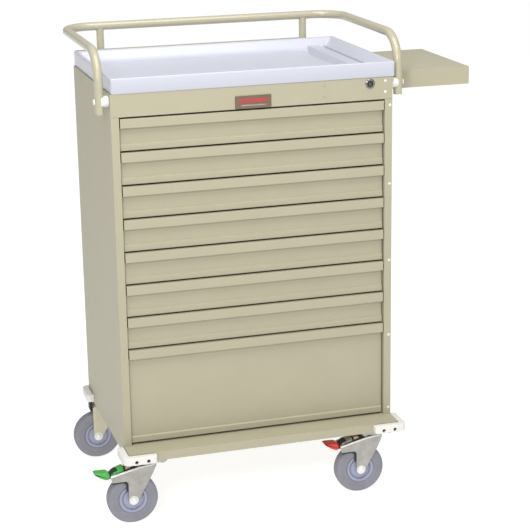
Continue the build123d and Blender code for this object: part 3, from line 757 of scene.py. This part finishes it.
back_face = cart_box("back_panel")[1].y
make_back_rivets(back_face)
make_back_seams(back_face)
make_rear_edge_strip()
make_shelf_hem()
make_base_bolts()


# ---------------------------------------------------------------- casters, from each wheel's axle
CORNERS = ("front_left", "front_right", "rear_left", "rear_right")
TRAIL = 42                  # from the axle to the swivel's axis
FORK_HALF = 22
BEAD_CENTRE, BEAD_REACH = 14, 49.4
BEAD_TOP = 84.6
BEAD_STEPS = 12
PEDAL_PIN = (-36, 70)
# The black strips of painted shade inside the fork's legs lie between these distances from the wheel's
# middle.
SHADE_STRIP_INSIDE, SHADE_STRIP_OUTSIDE = 16.5, 18.7


def tyre_profile():
    """Points of (radius, across), with a groove in each side."""
    half = [(34.6, 13.4), (37, 15.4), (45, 15.9), (45.7, 15.4), (46.6, 15.4), (47.3, 15.95), (54.5, 15.8),
            (59.6, 13.9), (62.0, 9.8), (62.48, 4), (62.5, 0)]
    both = half + [(radius, -across) for radius, across in reversed(half[:-1])]
    radii = [0.5, 1, 0.3, 0.3, 0.3, 0.3, 2, 3, 3, 3] + [3] * 11
    return [(point.x, point.y) for point in rounded(both, radii, 3)]


def hub_profile():
    """Points of (radius, across): the bore, a boss, a web, a ring-shaped groove and the rim."""
    half = [(6.1, 17), (11.4, 17), (12.6, 12.6), (23.6, 12.1), (24.7, 9.4), (27.3, 9.4), (28.2, 13.8),
            (34.5, 14.4)]
    both = half + [(radius, -across) for radius, across in reversed(half)]
    return [(point.x, point.y) for point in rounded(both, [0, 1, 1, 1, 0.4, 0.4, 0.9, 0.8] * 2, 4)]


def fork_bead(braked):
    """The line of the fork's rolled top edge, along one leg, round its back and along the other."""
    half_width = FORK_HALF - 0.6
    if braked:
        near = [(-54.2, 66.4), (-40, 70), (-20, 74.9), (0, 79.7), (9, 81.6), (16, 83.8)]
    else:
        near = [(-11, 78.4), (-7, 82.5), (-2, BEAD_TOP), (8, BEAD_TOP), (16, BEAD_TOP)]
    line = [Vector((x, -half_width, z)) for x, z in near]
    for step in range(1, BEAD_STEPS):
        turn = -pi / 2 + pi * step / BEAD_STEPS
        line.append(Vector((BEAD_CENTRE + BEAD_REACH * cos(turn), half_width * sin(turn), BEAD_TOP)))
    return line + [Vector((x, half_width, z)) for x, z in reversed(near)]


def make_wheel(corner, place):
    tread = bmesh.new()
    lathe(tread, tyre_profile(), through_y, 144)
    add_piece("tyre_tread_" + corner, tread, "wheel_" + corner, "tyre", ("tyre_" + corner,), place=place,
              sharp=30)
    hub = bmesh.new()
    lathe(hub, hub_profile(), through_y, 128)
    add_piece("hub_rings_" + corner, hub, "wheel_" + corner, "hub_plastic", ("hub_" + corner,), place=place,
              sharp=30)
    caps = bmesh.new()
    for facing in (-1, 1):
        profile = [(6.3, 17.05), (10.4, 17.05), (10.4, 17.6), (9.6, 18.1), (7, 18.1), (6.3, 17.7)]
        lathe(caps, [(radius, facing * across) for radius, across in profile], through_y, 48)
    add_piece("bearing_caps_" + corner, caps, "wheel_" + corner, "zinc_steel", place=place, sharp=30)


def make_axle_bolt(corner, place):
    """Two washers, a domed head in front, a hexagon and a nut, and the shank between them."""
    bolt = bmesh.new()
    for facing in (-1, 1):
        washer = [(6.2, 22.02), (11.2, 22.02), (11.6, 22.5), (11.2, 23.2), (6.2, 23.2)]
        lathe(bolt, [(radius, facing * across) for radius, across in washer], through_y, 40)
    head = [(0, -29.6), (2.6, -29.4), (5.4, -28.4), (7.4, -26.6), (8.3, -24.6), (8.4, -23.2), (0, -23.2)]
    lathe(bolt, head, through_y, 40)
    turns = [radians(60 * k + 12) for k in range(6)]
    hexagon = [Vector((9.2 * cos(turn), 9.2 * sin(turn))) for turn in turns]
    pillow(bolt, rounded(hexagon, 0.8, 2), -26.2, -23.1, 0.5, through_y, 2)
    pillow(bolt, rounded(hexagon, 0.8, 2), 23.1, 29, 0.6, through_y, 2)
    lathe(bolt, [(0, -22.5), (6, -22.5), (6, 22.5), (0, 22.5)], through_y, 32)
    add_piece("axle_bolt_" + corner, bolt, "caster_" + corner, "zinc_steel", ("axle_" + corner,),
              place=place, sharp=35, material=EXTRA["bright_zinc_and_highlight"])


def make_fork_edge(corner, place, braked):
    edge = bmesh.new()
    tube(edge, fork_bead(braked), 2.4, 12)
    # On the braked forks the rolled edge is near-white bright zinc, a painted highlight along the fork's top;
    # the others keep the fork's own finish.
    finish = EXTRA["bright_zinc_and_highlight"] if braked else MATERIALS[SLOT_OF["fork_" + corner]]
    add_piece("fork_rolled_edge_" + corner, edge, "caster_" + corner, place=place, sharp=50, material=finish)


def make_swivel_race(corner, place):
    race = bmesh.new()
    profile = [(20.1, 87.2), (23, 87.2), (24, 88.2), (24, 90.6), (22.4, 91.3), (22.4, 92), (24.6, 92.4),
               (24.6, 94.4), (20.1, 94.4)]
    lathe(race, profile, on_axis(Vector((TRAIL, 0)), along_y=False), 64)
    add_piece("swivel_race_" + corner, race, "cabinet", "zinc_steel", place=place, sharp=35)


def make_pedal(corner, slot, place):
    """A foot pedal: a leaf-shaped tongue, a rocker of two plates and a button, a black web and bars that
    paint the shade in the slot between the plates, and a pin.

    The green pedal's rocker is green too, and the red pedal's is steel.
    """
    tongue = bmesh.new()
    outline = rounded([(-94, 75.2), (-86, 77), (-62, 76), (-54.5, 71), (-54, 59), (-63, 56), (-78, 63)],
                      [2, 8, 6, 4, 3, 9, 12], 6)
    pillow(tongue, outline, -14, 14, 3, through_y, 5)
    rocker = bmesh.new()
    plate = rounded([(-52, 60), (-52.5, 68.5), (-45, 75.5), (-27, 82), (-20, 81), (-20, 73), (-40, 62)],
                    [3, 4, 5, 4, 4, 5, 6], 5)
    for low, high in ((-16, -12), (12, 16)):
        pillow(rocker, plate, low, high, 1.5, through_y, 3)
    button = rounded([(-36, 74), (-36, 80.5), (-23, 84.5), (-20.5, 83.5), (-20.5, 76)], [1, 3, 3, 2, 1], 4)
    pillow(rocker, button, -12.5, 12.5, 1, through_y, 3)
    finish = MATERIALS["pedal_green" if slot == "pedal_green" else "zinc_steel"]
    body = "pedal_" + corner
    add_piece("pedal_rocker_" + corner, rocker, body, place=place, sharp=45, material=finish)
    add_piece("pedal_moulding_" + corner, tongue, body, slot, (body,), place=place, sharp=45)
    slot_shade = bmesh.new()
    # A black web and bars between the rocker's plates paint the shade in its slot.
    web = rounded([(-52.5, 60), (-53, 69.5), (-45.5, 76), (-37, 79), (-37, 66), (-42, 63)], 2, 3)
    pillow(slot_shade, web, -11.8, 11.8, 0.6, through_y, 2)
    for x, z in ((-49.5, 72), (-45, 75.5), (-40.5, 77.5)):
        bar = rounded([(x - 1, z - 7), (x + 1, z - 7), (x + 1, z + 2), (x - 1, z + 2)], 0.7, 3)
        pillow(slot_shade, bar, -11, 11, 0.4, through_y, 2)
    add_piece("pedal_slot_shade_" + corner, slot_shade, body, place=place, material=EXTRA["black_rubber_and_shade"])
    pin = bmesh.new()
    profile = [(0, -23.2), (4.6, -23.2), (5.2, -22.4), (5.2, -21.9), (3, -21.9), (3, 21.9), (5.2, 21.9),
               (5.2, 22.4), (4.6, 23.2), (0, 23.2)]
    lathe(pin, profile, on_axis(Vector(PEDAL_PIN)), 24)
    add_piece("pedal_pin_" + corner, pin, body, "zinc_steel", place=place)


def make_brake(corner, place):
    """The latch behind the pedal, a black strip of painted shade inside each of the fork's legs, and a stud
    on the front one.
    """
    body = "caster_" + corner
    latch = bmesh.new()
    outline = rounded([(-17, 76.5), (-4, 79.5), (-3, 86.5), (-9, 88), (-17, 86.5)], 2, 4)
    pillow(latch, outline, -14, 14, 1, through_y, 3)
    add_piece("brake_latch_" + corner, latch, body, place=place, material=EXTRA["latch_brass"])
    # Black strips inside both legs paint the shade between the fork and the tyre.
    shade_strip = bmesh.new()
    outline = rounded([(-50.5, 51.6), (-50.5, 46.4), (-23, 46.4), (-16.6, 41), (-16.6, 23), (-11.6, 23),
                       (-11.6, 51.6)], [1, 1, 6, 6, 1, 1, 1], 5)
    for low, high in ((-SHADE_STRIP_OUTSIDE, -SHADE_STRIP_INSIDE), (SHADE_STRIP_INSIDE, SHADE_STRIP_OUTSIDE)):
        pillow(shade_strip, outline, low, high, 0.4, through_y, 2)
    add_piece("fork_shade_strip_" + corner, shade_strip, body, place=place, material=EXTRA["black_rubber_and_shade"])
    stud = bmesh.new()
    dome(stud, (1, -FORK_HALF, 67), (0, -1, 0), 2.6, 1.2)
    add_piece("fork_stud_" + corner, stud, body, "zinc_steel", place=place, sharp=60)


def make_swivel_stop(corner, place):
    stop = bmesh.new()
    outline = rounded([(-18, 71), (-12.2, 71), (-12.2, 88), (-11, 92.5), (-18, 92.5)], 1.6, 4)
    pillow(stop, outline, -12, 12, 1.2, through_y, 3)
    add_piece("swivel_stop_" + corner, stop, "caster_" + corner, place=place, material=EXTRA["black_rubber_and_shade"])


PEDAL_SLOTS = {"front_left": "pedal_green", "front_right": "pedal_red"}
for corner in CORNERS:
    hub_low, hub_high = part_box("hub_" + corner)
    place = Matrix.Translation((hub_low + hub_high) / 2) @ Matrix.Scale(0.001, 4)
    braked = corner in PEDAL_SLOTS
    make_wheel(corner, place)
    make_axle_bolt(corner, place)
    softened("fork_" + corner, width=0.7, segments=2)
    make_fork_edge(corner, place, braked)
    make_swivel_race(corner, place)
    if braked:
        make_pedal(corner, PEDAL_SLOTS[corner], place)
        make_brake(corner, place)
    if corner == "rear_left":
        make_swivel_stop(corner, place)

# ---------------------------------------------------------------- finish on the CAD nodes that stay
SPECIAL = {"guard_rail": EXTRA["rail_paint_and_highlight"], "rail_posts": EXTRA["rail_paint_and_highlight"],
           "rail_bolts": MATERIALS["rivet_paint"]}
for node, shown in frame["nodes"].items():
    shown.data.materials.clear()
    shown.data.materials.append(SPECIAL.get(node, MATERIALS[SLOT_OF[node]]))

# ---------------------------------------------------------------- floor
FLOOR_RINGS = (400, 1500, 4000, 9000, 24000)
FLOOR_MIDDLE = (0, 250)
FLOOR_HEIGHT = -0.3         # just under the wheels


def make_floor():
    """A wide round floor."""
    made = bmesh.new()
    rings = [[through_z(point.x, point.y, FLOOR_HEIGHT) for point in circle(*FLOOR_MIDDLE, reach, 48)]
             for reach in FLOOR_RINGS]
    rows = skin(made, rings, caps=False)
    made.faces.new(rows[0])
    bmesh.ops.transform(made, matrix=TO_FRAME, verts=made.verts)
    bmesh.ops.recalc_face_normals(made, faces=made.faces)
    mesh = bpy.data.meshes.new("studio_floor")
    made.to_mesh(mesh)
    made.free()
    mesh.materials.append(EXTRA["studio_floor"])
    floor = bpy.data.objects.new("studio_floor", mesh)
    scene.collection.objects.link(floor)


make_floor()
